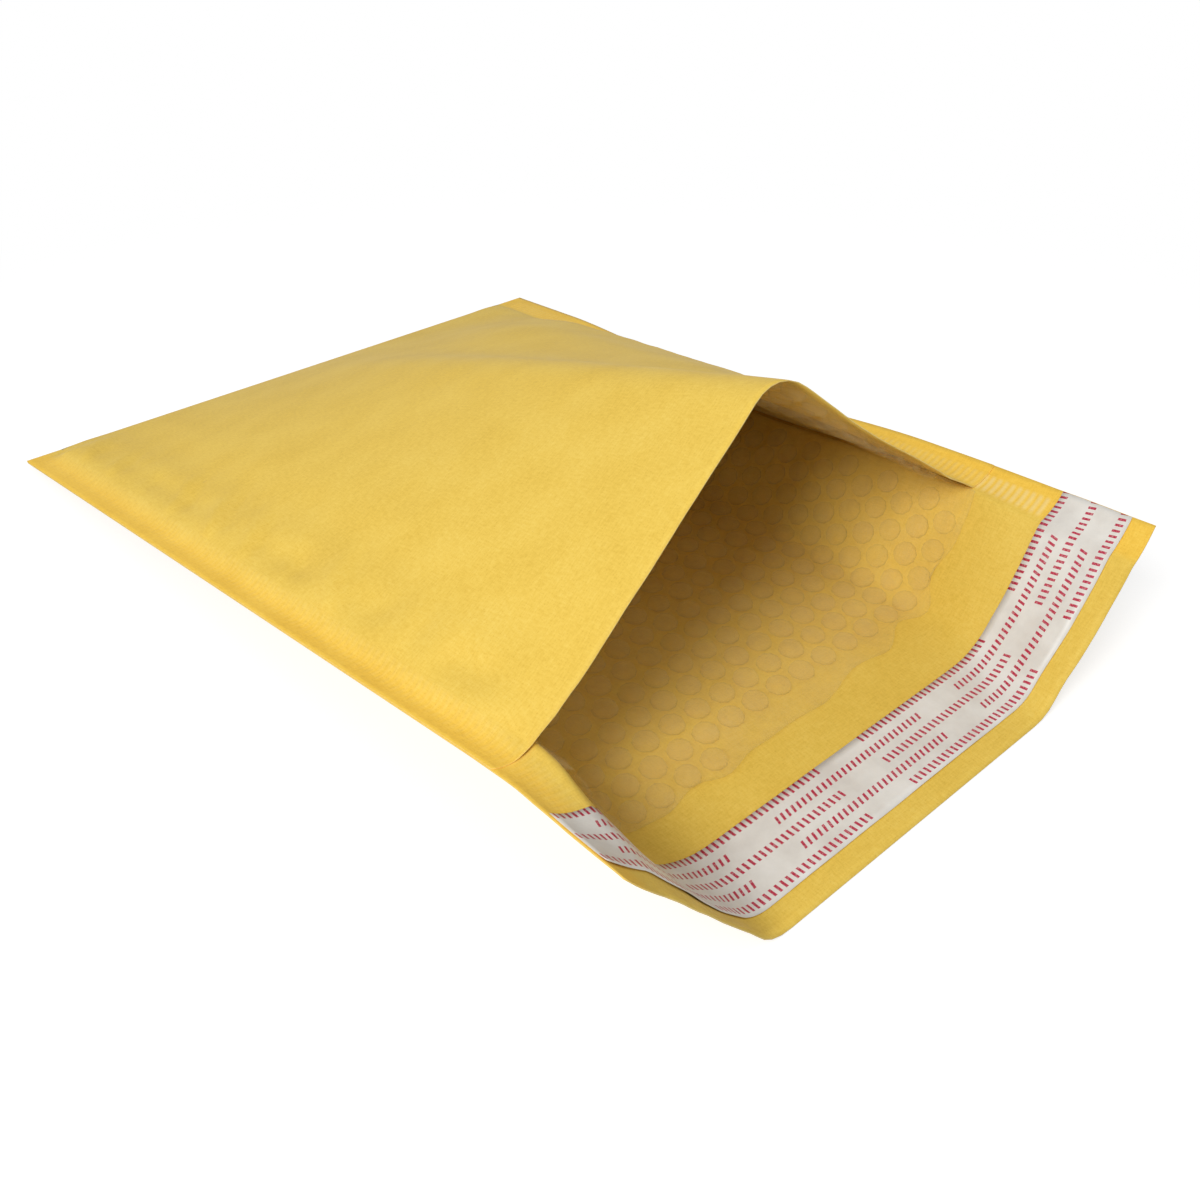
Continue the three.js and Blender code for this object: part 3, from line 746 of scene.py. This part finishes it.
# The bubble lining is a flat film against the paper, with air cells that stand into the pouch.
liningLook = dict(
    overhang=13, overhangRight=4, askew=(90, 250), topSetback=2, sideInset=16.2,
    filmDepth=1.1, filmThickness=0.1, filmSpare=0.06, step=3.2, edgeWave=1.3,
    edgeLift=1.0, liftFade=(1, 15), liftUneven=(0.55, 0.45), liftLimits=(0.02, 1.6), liftStretch=0.4,
    bubblePitch=11.4, bubbleRadius=4.8, bubbleHeight=2.5, bubbleVariation=0.06, seed=7,
    leastBubble=0.9, bubbleSpare=0.3, bubbleReach=6, bubbleSink=0.02,
    bubbleInset=1, bottomStart=6.5, topStart=6, foldSpare=5, segments=10, rings=6, roundness=0.7,
)


def filmEdge(u, look=liningLook):
    # the cut end of the film runs askew over the flap
    return -look["overhang"] + (look["overhang"] - look["overhangRight"]) * smooth(u, *look["askew"])


def filmLift(u, s, look=liningLook):
    # near its free edge on the flap the film stands off the paper in loose waves
    free = 1 - smooth(s - filmEdge(u), *look["liftFade"])
    level, change = look["liftUneven"]
    wave = level + change * ripple(u, s * look["liftStretch"], *ripples["filmLift"])
    return look["edgeLift"] * free * np.clip(wave, *look["liftLimits"])


# The film keeps off the paper by its own depth, and closes up with it at the seams and at the fold.
def filmDepth(u, s, part, look=liningLook):
    if part == "fold":
        room = endHeight(u) / 2
    else:
        body = np.maximum(s, 0)
        room = np.linalg.norm(bottomFace(u, body)[0] - topFace(u, body), axis=-1) / 2
    depth = np.minimum(look["filmDepth"], room - look["filmSpare"])
    return depth + (filmLift(u, s) if part in ("flap", "bottom") else 0)


def liningFilm(look):
    rows = pouchRows(look["overhang"], look["topSetback"], look["step"])
    columns = evenColumns(look["sideInset"], look["step"])
    places = np.array([row[1] for row in rows])
    edge = np.array([row[0] == "flap" for row in rows])
    u, s = np.meshgrid(columns, places)
    points = webPoints(columns, rows, filmDepth)
    wavy = look["edgeWave"] * ripple(u, u * 0, *ripples["filmEdge"]) * smooth(-s, 0, look["overhang"])
    place = s[edge] * -filmEdge(u[edge]) / look["overhang"] + wavy[edge]
    moved = panelPoint("bottom", u[edge], place, filmDepth(u[edge], place, "flap"))[0]
    points[edge] = moved.reshape(points[edge].shape)
    paper = np.array([row[2] for row in rows])
    uv = np.stack(np.meshgrid(columns, paper), -1).reshape(-1, 2)
    faces = gridFaces(len(rows), len(columns))
    piece = meshFrom("bubbleLining", points.reshape(-1, 3), faces, uv, bubbleFilm)
    return thicken(piece, look["filmThickness"])


# Where the air cells sit: a staggered grid on both panels, flatter where the panels close up.
def bubblePlaces(look):
    pitch, margin = look["bubblePitch"], look["sideInset"] + look["bubbleRadius"] + look["bubbleInset"]
    places = []
    starts = dict(bottom=-look["overhang"] + look["bottomStart"], top=look["topSetback"] + look["topStart"])
    for panel, begin in starts.items():
        for k, s in enumerate(np.arange(begin, foldLine - look["foldSpare"], pitch * math.sqrt(0.75))):
            u = np.arange(margin + (k % 2) * pitch / 2, width - margin, pitch)
            s = np.full_like(u, s)
            depth = filmDepth(u, s, panel) + look["filmThickness"] - look["bubbleSink"]
            point, inward = panelPoint(panel, u, s, depth)
            reach, gaps = look["bubbleReach"], []
            for du, ds in ((0, 0), (-reach, 0), (reach, 0), (0, -reach), (0, reach)):
                body = np.clip(s + ds, 0, foldLine)
                gaps.append(np.linalg.norm(bottomFace(u + du, body)[0] - topFace(u + du, body), axis=-1) / 2)
            room = np.min(gaps, axis=0) - look["filmDepth"] - look["bubbleSpare"]
            puff = np.minimum(look["bubbleHeight"], room)
            kept = (puff > look["leastBubble"]) & ((panel == "top") | (s > filmEdge(u) + reach))
            places += [row for row, keep in zip(zip(point, inward, puff), kept) if keep]
    return places


def bubbleTree(look):
    tree = bpy.data.node_groups.new("airCells", "GeometryNodeTree")
    face = tree.interface
    face.new_socket("Geometry", in_out="INPUT", socket_type="NodeSocketGeometry")
    face.new_socket("Cell Radius", in_out="INPUT", socket_type="NodeSocketFloat")
    face.new_socket("Cell Variation", in_out="INPUT", socket_type="NodeSocketFloat")
    face.new_socket("Seed", in_out="INPUT", socket_type="NodeSocketInt")
    face.new_socket("Film", in_out="INPUT", socket_type="NodeSocketMaterial")
    face.new_socket("Geometry", in_out="OUTPUT", socket_type="NodeSocketGeometry")

    add = nodeAdder(tree)
    given = add("NodeGroupInput").outputs
    sphere = {"Segments": look["segments"], "Rings": look["rings"], "Radius": 1.0}
    ball = add("GeometryNodeMeshUVSphere", sphere)
    place = add("ShaderNodeSeparateXYZ", {0: add("GeometryNodeInputPosition").outputs[0]}).outputs
    # a flat-bottomed cell with steep sides and a rounded top
    height = calc(add, "POWER", calc(add, "MAXIMUM", place["Z"]), look["roundness"])
    shape = add("ShaderNodeCombineXYZ", {"X": place["X"], "Y": place["Y"], "Z": height})
    cell = add("GeometryNodeSetPosition", {"Geometry": ball.outputs["Mesh"], "Position": shape.outputs[0]})
    facing = add("GeometryNodeInputNamedAttribute", {"Name": "inward"}, data_type="FLOAT_VECTOR")
    puff = add("GeometryNodeInputNamedAttribute", {"Name": "puff"}, data_type="FLOAT")
    turn = add("FunctionNodeAlignRotationToVector", {"Vector": facing.outputs[0]}, axis="Z")
    vary = add("FunctionNodeRandomValue", {"Seed": given["Seed"]}, data_type="FLOAT")
    least, most = [socket for socket in vary.inputs if socket.type == "VALUE"][:2]
    tree.links.new(calc(add, "SUBTRACT", 1.0, given["Cell Variation"]), least)
    most.default_value = 1.0
    random = next(socket for socket in vary.outputs if socket.type == "VALUE")
    radius = calc(add, "MULTIPLY", given["Cell Radius"], random)
    size = add("ShaderNodeCombineXYZ", {"X": radius, "Y": radius, "Z": puff.outputs[0]})
    spread = add("GeometryNodeInstanceOnPoints", {
        "Points": given["Geometry"], "Instance": cell.outputs[0],
        "Rotation": turn.outputs[0], "Scale": size.outputs[0],
    })
    real = add("GeometryNodeRealizeInstances", {"Geometry": spread.outputs[0]})
    soft = add("GeometryNodeSetShadeSmooth", {"Geometry": real.outputs[0]})
    coat = add("GeometryNodeSetMaterial", {"Geometry": soft.outputs[0], "Material": given["Film"]})
    add("NodeGroupOutput", {0: coat.outputs[0]})
    return tree


def airCells(look):
    places = bubblePlaces(look)
    mesh = bpy.data.meshes.new("airCells")
    mesh.from_pydata([tuple(p[0] * mm) for p in places], [], [])
    inward = mesh.attributes.new("inward", "FLOAT_VECTOR", "POINT")
    inward.data.foreach_set("vector", np.array([p[1] for p in places]).ravel())
    puff = mesh.attributes.new("puff", "FLOAT", "POINT")
    puff.data.foreach_set("value", np.array([p[2] for p in places]) * mm)
    piece = bpy.data.objects.new("airCells", mesh)
    bpy.context.scene.collection.objects.link(piece)
    tree = bubbleTree(look)
    maker = piece.modifiers.new("airCells", "NODES")
    maker.node_group = tree
    sockets = {item.name: item.identifier for item in tree.interface.items_tree if item.in_out == "INPUT"}
    maker[sockets["Cell Radius"]] = look["bubbleRadius"] * mm
    maker[sockets["Cell Variation"]] = look["bubbleVariation"]
    maker[sockets["Seed"]] = look["seed"]
    maker[sockets["Film"]] = bubbleFilm
    applied(piece)
    layer = piece.data.uv_layers.get("sheet") or piece.data.uv_layers.new(name="sheet")
    corner = np.zeros(len(piece.data.loops), dtype=np.int32)
    piece.data.loops.foreach_get("vertex_index", corner)
    points = np.zeros(len(piece.data.vertices) * 3)
    piece.data.vertices.foreach_get("co", points)
    layer.data.foreach_set("uv", points.reshape(-1, 3)[corner][:, :2].ravel().astype(np.float32))
    print("stage: air cells,", len(places), "cells")
    return piece


def joined(name, pieces):
    chosen = dict(active_object=pieces[0], selected_editable_objects=pieces, selected_objects=pieces)
    with bpy.context.temp_override(**chosen):
        bpy.ops.object.join()
    pieces[0].name = name
    return pieces[0]


liningPiece = joined("bubbleLining", [liningFilm(liningLook), airCells(liningLook)])
print("stage: bubble lining,", len(liningPiece.data.polygons), "faces")

# The adhesive band and the release strip lie on the inside of the flap.
bandStep = 2.6
adhesiveLook = dict(inset=5, depth=0.45, thickness=0.2)
stripLook = dict(
    inset=0.3, depth=0.72, thickness=0.09,
    edgeCurl=0.2, loose=(9, 13), curlUneven=(0.5, 0.5, 1.5), curlStretch=0.3,
)


def flapBand(name, place, look, material, lift=None):
    near, far = place
    rows = webRows([("flap", -far, -near)], bandStep)
    columns = evenColumns(look["inset"], bandStep)
    points = webPoints(columns, rows, lambda u, s, part: look["depth"] + (lift(u, s) if lift else 0))
    uv = np.stack(np.meshgrid(columns, np.array([row[2] for row in rows])), -1).reshape(-1, 2)
    piece = meshFrom(name, points.reshape(-1, 3), gridFaces(len(rows), len(columns)), uv, material)
    return thicken(piece, look["thickness"])


def stripLift(u, s):
    # the strip is stuck down only over the adhesive, so its free edges ripple a little
    free = smooth(np.abs(s + sum(flapBands["strip"]) / 2), *stripLook["loose"])
    level, change, most = stripLook["curlUneven"]
    wave = level + change * ripple(u, s * stripLook["curlStretch"], *ripples["stripEdge"])
    return stripLook["edgeCurl"] * free * np.clip(wave, 0, most)


adhesivePiece = flapBand("hotMeltBand", flapBands["adhesive"], adhesiveLook, hotMelt)
stripPiece = flapBand("releaseStrip", flapBands["strip"], stripLook, releasePaper, stripLift)
print("stage: adhesive band and release strip")

for piece, node, slotName in (
    (kraftPiece, "kraft_shell", "kraft_paper"), (liningPiece, "bubble_lining", "bubble_film"),
    (adhesivePiece, "adhesive_strip", "hot_melt"), (stripPiece, "release_liner", "release_paper"),
):
    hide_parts(node)
    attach(piece, "root")

studio = dict(
    floorSize=8.0, floorDrop=0.0003, floorTone=0.5, floorGlow=0.64, whiteFrom=0.2, whiteTo=0.5,
    worldStrength=0.48, keyPower=13.0, keySize=0.6, keyFrom=(-1.0, -0.28, 1.0),
    fillPower=1.0, fillFrom=(0.9, -0.5, 0.8),
    middle=(0.0, 0.12, 0.0), lampAim=(0.0, 0.1, 0.03),
)
plainWhite = (1, 1, 1, 1)


def floorPiece(look):
    half, low = look["floorSize"] / 2, -look["floorDrop"]
    corners = [(-half, -half, low), (half, -half, low), (half, half, low), (-half, half, low)]
    mesh = bpy.data.meshes.new("studioFloor")
    mesh.from_pydata(corners, [], [(0, 1, 2, 3)])
    material, add = materialMaker("studioFloor")
    path = add("ShaderNodeLightPath").outputs
    seen = calc(add, "MAXIMUM", path["Is Camera Ray"], path["Is Glossy Ray"])
    seen = calc(add, "MAXIMUM", seen, path["Is Transmission Ray"])
    glowStrength = calc(add, "MULTIPLY", seen, look["floorGlow"])
    glow = add("ShaderNodeEmission", {"Color": plainWhite, "Strength": glowStrength})
    matte = add("ShaderNodeBsdfDiffuse", {"Color": (look["floorTone"],) * 3 + (1,)})
    near = add("ShaderNodeAddShader", {0: glow.outputs[0], 1: matte.outputs[0]})
    # away from the object the floor runs out into plain white
    place = add("ShaderNodeTexCoord").outputs["Object"]
    away = add("ShaderNodeVectorMath", {0: place, 1: look["middle"]}, operation="DISTANCE").outputs["Value"]
    fade = {"Value": away, "From Min": look["whiteFrom"], "From Max": look["whiteTo"]}
    far = add("ShaderNodeMapRange", fade, interpolation_type="SMOOTHSTEP").outputs[0]
    white = add("ShaderNodeEmission", {"Color": plainWhite, "Strength": 1.0})
    share = calc(add, "MULTIPLY", far, seen)
    both = add("ShaderNodeMixShader", {0: share, 1: near.outputs[0], 2: white.outputs[0]})
    add("ShaderNodeOutputMaterial", {"Surface": both.outputs[0]})
    mesh.materials.append(material)
    floor = bpy.data.objects.new("studioFloor", mesh)
    bpy.context.scene.collection.objects.link(floor)


def placed(holder, axes, place):
    columns = np.stack(axes, 1).tolist()
    holder.matrix_world = Matrix([[*row, at] for row, at in zip(columns, place)] + [[0, 0, 0, 1]])
    bpy.context.scene.collection.objects.link(holder)


def softLamp(name, power, look, place):
    lamp = bpy.data.lights.new(name, "AREA")
    lamp.energy, lamp.size, lamp.shape = power, look["keySize"], "DISK"
    aim = np.array(look["lampAim"]) - np.array(place)
    back = -aim / np.linalg.norm(aim)
    side = np.cross([0, 0, 1], back)
    side /= np.linalg.norm(side)
    placed(bpy.data.objects.new(name, lamp), [side, np.cross(back, side), back], place)


def studioWorld(look):
    world = bpy.data.worlds.new("studioWorld")
    world.use_nodes = True
    world.node_tree.nodes.clear()
    add = nodeAdder(world.node_tree)
    soft = add("ShaderNodeBackground", {"Color": plainWhite, "Strength": look["worldStrength"]})
    white = add("ShaderNodeBackground", {"Color": plainWhite, "Strength": 1.0})
    seen = add("ShaderNodeLightPath").outputs["Is Camera Ray"]
    mix = add("ShaderNodeMixShader", {0: seen, 1: soft.outputs[0], 2: white.outputs[0]})
    add("ShaderNodeOutputWorld", {0: mix.outputs[0]})
    bpy.context.scene.world = world


floorPiece(studio)
softLamp("keyLamp", studio["keyPower"], studio, studio["keyFrom"])
softLamp("fillLamp", studio["fillPower"], studio, studio["fillFrom"])
studioWorld(studio)

# The view of the photograph: the camera's place, right and up directions, and focal length in pixels.
viewpoint = dict(
    place=(-0.226879, -0.192301, 0.274547), right=(0.76737432, -0.64102351, -0.01501716),
    up=(0.32876815, 0.37324762, 0.8675239), focal=1178.845,
    frameSize=1200, centreRow=430, sensor=36,
)


def photoCamera(look):
    lens = bpy.data.cameras.new("photoCamera")
    lens.sensor_fit, lens.sensor_width = "HORIZONTAL", look["sensor"]
    lens.lens = look["focal"] / look["frameSize"] * look["sensor"]
    lens.shift_y = (look["centreRow"] - look["frameSize"] / 2) / look["frameSize"]
    lens.clip_start = 0.01
    right, up = np.array(look["right"]), np.array(look["up"])
    holder = bpy.data.objects.new("photoCamera", lens)
    placed(holder, [right, up, np.cross(right, up)], look["place"])
    bpy.context.scene.camera = holder


photoCamera(viewpoint)
bpy.context.scene.view_settings.view_transform = "Standard"
bpy.context.scene.cycles.transparent_max_bounces = 32  # light and sight pass many layers of clear film
print("stage: floor, light and camera")
